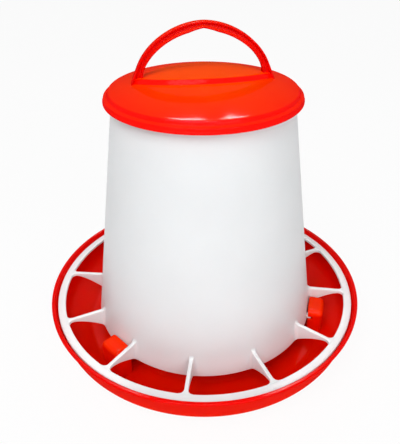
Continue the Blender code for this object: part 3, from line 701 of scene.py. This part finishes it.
# The three shelves inside the skirt, each with an upright stop at one end
def makeShelves():
    shelfZ = lid["edge"] + lid["shelfInset"]
    tip = hopperRadius(shelfZ) + lid["shelfGap"]
    root = lid["skirtRadius"] - lid["wall"] / 2
    shelf = roundedBoxGrid((root - tip, lid["shelfWidth"], lid["shelfThickness"]),
                           ((root + tip) / 2, 0, shelfZ + lid["shelfThickness"] / 2))
    stopTop = lid["edge"] + lid["skirtHeight"]
    stopLow = shelfZ + lid["shelfThickness"] / 2
    stopTip = tip + lid["shelfGap"]
    stop = roundedBoxGrid((root - stopTip, lid["stopWidth"], stopTop - stopLow),
                          ((root + stopTip) / 2, (lid["stopWidth"] - lid["shelfWidth"]) / 2,
                           (stopTop + stopLow) / 2))
    for i in range(posts["count"]):
        angle = lid["shelfAngle"] + fullTurn * i / posts["count"]
        makePiece(f"shelf{i + 1}", turnedBy(shelf, angle), "lid_body", lidRed)
        makePiece(f"shelfStop{i + 1}", turnedBy(stop, angle), "lid_body", lidRed)


makeLidShell()
makeLand()
makeShelves()
print("lid made")


# Handle

# Points of a superellipse arch from its right foot over the crown to its left foot, with
# feet that spread as they near the dome
def archPoints(angles, halfSpan, height, power, flare):
    along = halfSpan * np.sign(np.cos(angles)) * np.abs(np.cos(angles)) ** (2 / power)
    rise = height * np.abs(np.sin(angles)) ** (2 / power)
    spread = np.clip(1 - rise / handle["flareHeight"], 0, 1) ** 2
    return along + flare * np.sign(np.cos(angles)) * spread, rise


# The handle: an I section carried along the arch. Across the section, one share runs
# from the inner arch to the outer one and the other across the width; between the two
# flanges the width drops to the web, with soft corners. Feet end just under the dome
def makeHandle():
    footZ = float(domeHeight(handle["halfSpan"]))
    angles = np.linspace(0, math.pi, 161)
    outerX, outerZ = archPoints(angles, handle["halfSpan"], handle["height"],
                                handle["power"], handle["flare"])
    innerX, innerZ = archPoints(angles, handle["halfSpan"] - handle["legDepth"],
                                handle["height"] - handle["crownDepth"],
                                handle["innerPower"], -handle["flare"])
    notch = np.clip(1 - np.abs(innerX) / handle["notchHalfWidth"], 0, 1)
    innerZ = innerZ + handle["notchRise"] * notch
    # Straight roots below the feet, later flattened onto the dome
    sinkZ = -handle["rootLength"]
    outerX, innerX = (np.concatenate([v[:1], v, v[-1:]]) for v in (outerX, innerX))
    outerZ, innerZ = (np.concatenate([[sinkZ], v, [sinkZ]]) for v in (outerZ, innerZ))
    depth = np.hypot(outerX - innerX, outerZ - innerZ)
    flangeShare = handle["flange"] / depth
    # The section's outline: depth in flange thicknesses from each arch, width from 0 to 1
    halfWidth = handle["width"] / 2
    web = handle["web"] / 2 / halfWidth
    webSide = web + handle["webFillet"]
    corner = np.array([
        # side of the arch (0 inner, 1 outer), flange thicknesses from it, half width
        (0, 0.0, 0.0), (0, 0.0, 0.8), (0, 0.10, 0.93), (0, 0.30, 1.0),
        (0, 0.75, 1.0), (0, 0.93, 0.95), (0, 1.02, 0.86), (0, 1.10, webSide),
        (0, 1.35, web),
        (1, 1.35, web), (1, 1.10, webSide),
        (1, 1.02, 0.86), (1, 0.93, 0.95), (1, 0.75, 1.0),
        (1, 0.30, 1.0), (1, 0.10, 0.93), (1, 0.0, 0.8), (1, 0.0, 0.0),
    ])
    outline = np.concatenate([corner, corner[-2:0:-1] * (1, 1, -1)])
    side, thick, width = outline[:, 0], outline[:, 1], outline[:, 2]
    share = np.where(side == 0, thick * flangeShare[:, None], 1 - thick * flangeShare[:, None])
    x = innerX[:, None] + (outerX - innerX)[:, None] * share
    z = footZ + innerZ[:, None] + (outerZ - innerZ)[:, None] * share
    # Feet spread in width too where they meet the dome
    nearDome = (1 - (z - footZ).clip(0) / handle["flareHeight"]).clip(0, 1)
    y = (halfWidth + handle["footSpread"] * nearDome ** 2) * width
    grid = turnedBy(np.stack([x, y, z], -1), handle["angle"])
    radius = np.hypot(grid[..., 0], grid[..., 1])
    grid[..., 2] = np.maximum(grid[..., 2], domeHeight(radius) - handle["sink"])
    piece = makePiece("archHandle", grid, "lid_body", handleRed, capEnds=True,
                      sharpAngle=50)
    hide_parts("handle")


makeHandle()
print("handle made")


# Stage, lights and camera

stage = {"floorSize": 6.0, "paint": "#F4F5F6", "keptShadow": 0.07}
lamps = {
    "key": {"place": (-0.45, -1.0, 1.75), "width": 1.3, "depth": 1.3, "power": 23.0},
    "fill": {"place": (0.7, -1.6, 1.0), "width": 1.2, "depth": 1.2, "power": 12.0},
}
# Strips that only show as highlights on glossy skin
strips = {
    "leftStrip": {"place": (-0.17, 0.95, 1.67), "width": 0.34, "depth": 0.26, "power": 36.0},
    "rightStrip": {"place": (0.29, 1.03, 1.58), "width": 0.20, "depth": 0.20, "power": 15.0},
    "frontStrip": {"place": (-0.10, -1.05, 1.75), "width": 0.90, "depth": 0.10, "power": 12.0},
}
lampAim = (0, 0, 0.12)
worldLevel = 0.31
camera = {"back": 381.7 * mm, "up": 355.1 * mm, "downTilt": 32.82, "roll": -0.32,
          "focalPixels": 483.6, "shiftRight": 4.2, "shiftDown": 0.5, "imageHeight": 444,
          "sensor": 36.0}


# 1 where the camera, a reflection or light seen through a piece meets the backdrop
def seenRay(tree):
    rays = addNode(tree, "ShaderNodeLightPath")
    seen = addNode(tree, "ShaderNodeMath", {"operation": "MAXIMUM"},
                   links={0: rays.outputs["Is Camera Ray"], 1: rays.outputs["Is Glossy Ray"]})
    seenThrough = addNode(tree, "ShaderNodeMath", {"operation": "MAXIMUM"},
                          links={0: seen.outputs[0], 1: rays.outputs["Is Transmission Ray"]})
    return seenThrough.outputs[0]


# Pale studio floor: white to the camera and in reflections, but it keeps part of the shadow
def makeFloor():
    material = bpy.data.materials.new("paleStudioFloor")
    material.use_nodes = True
    tree = material.node_tree
    tree.nodes.clear()
    paint = addNode(tree, "ShaderNodeBsdfDiffuse",
                    values={"Color": linearColour(stage["paint"])})
    glow = addNode(tree, "ShaderNodeEmission", values={"Strength": 1.0})
    share = addNode(tree, "ShaderNodeMath", {"operation": "MULTIPLY"},
                    values={1: 1 - stage["keptShadow"]}, links={0: seenRay(tree)})
    mix = addNode(tree, "ShaderNodeMixShader",
                  links={0: share.outputs[0], 1: paint.outputs[0], 2: glow.outputs[0]})
    addNode(tree, "ShaderNodeOutputMaterial", links={"Surface": mix.outputs[0]})
    half = stage["floorSize"] / 2
    mesh = bpy.data.meshes.new("studioFloor")
    mesh.from_pydata([(-half, -half, 0), (half, -half, 0), (half, half, 0), (-half, half, 0)],
                     [], [(0, 1, 2, 3)])
    mesh.materials.append(material)
    floor = bpy.data.objects.new("studioFloor", mesh)
    bpy.context.scene.collection.objects.link(floor)


def makeWorld():
    world = bpy.data.worlds.new("studioWorld")
    bpy.context.scene.world = world
    world.use_nodes = True
    tree = world.node_tree
    tree.nodes.clear()
    white = (1, 1, 1, 1)
    light = addNode(tree, "ShaderNodeBackground",
                    values={"Color": white, "Strength": worldLevel})
    seen = addNode(tree, "ShaderNodeBackground", values={"Color": white, "Strength": 1.0})
    mix = addNode(tree, "ShaderNodeMixShader",
                  links={0: seenRay(tree), 1: light.outputs[0], 2: seen.outputs[0]})
    addNode(tree, "ShaderNodeOutputWorld", links={"Surface": mix.outputs[0]})


def makeLamps():
    for name, lamp in {**lamps, **strips}.items():
        data = bpy.data.lights.new(name + "Lamp", "AREA")
        data.shape = "RECTANGLE"
        data.size = lamp["width"]
        data.size_y = lamp["depth"]
        data.energy = lamp["power"]
        lampObject = bpy.data.objects.new(name + "Lamp", data)
        lampObject.location = lamp["place"]
        aim = Vector(lampAim) - lampObject.location
        lampObject.rotation_euler = aim.to_track_quat("-Z", "Y").to_euler()
        lampObject.visible_diffuse = name in lamps
        bpy.context.scene.collection.objects.link(lampObject)


def makeCamera():
    data = bpy.data.cameras.new("photoCamera")
    data.sensor_width = camera["sensor"]
    data.lens = camera["focalPixels"] * camera["sensor"] / camera["imageHeight"]
    data.shift_x = -camera["shiftRight"] / camera["imageHeight"]
    data.shift_y = camera["shiftDown"] / camera["imageHeight"]
    photoCamera = bpy.data.objects.new("photoCamera", data)
    tilt = Matrix.Rotation(math.radians(90 - camera["downTilt"]), 4, "X")
    roll = Matrix.Rotation(math.radians(camera["roll"]), 4, "Z")
    photoCamera.matrix_world = (Matrix.Translation((0, -camera["back"], camera["up"]))
                                @ tilt @ roll)
    bpy.context.scene.collection.objects.link(photoCamera)
    bpy.context.scene.camera = photoCamera


makeFloor()
makeWorld()
makeLamps()
makeCamera()
bpy.context.scene.view_settings.view_transform = "Standard"
print("stage, lights and camera made")
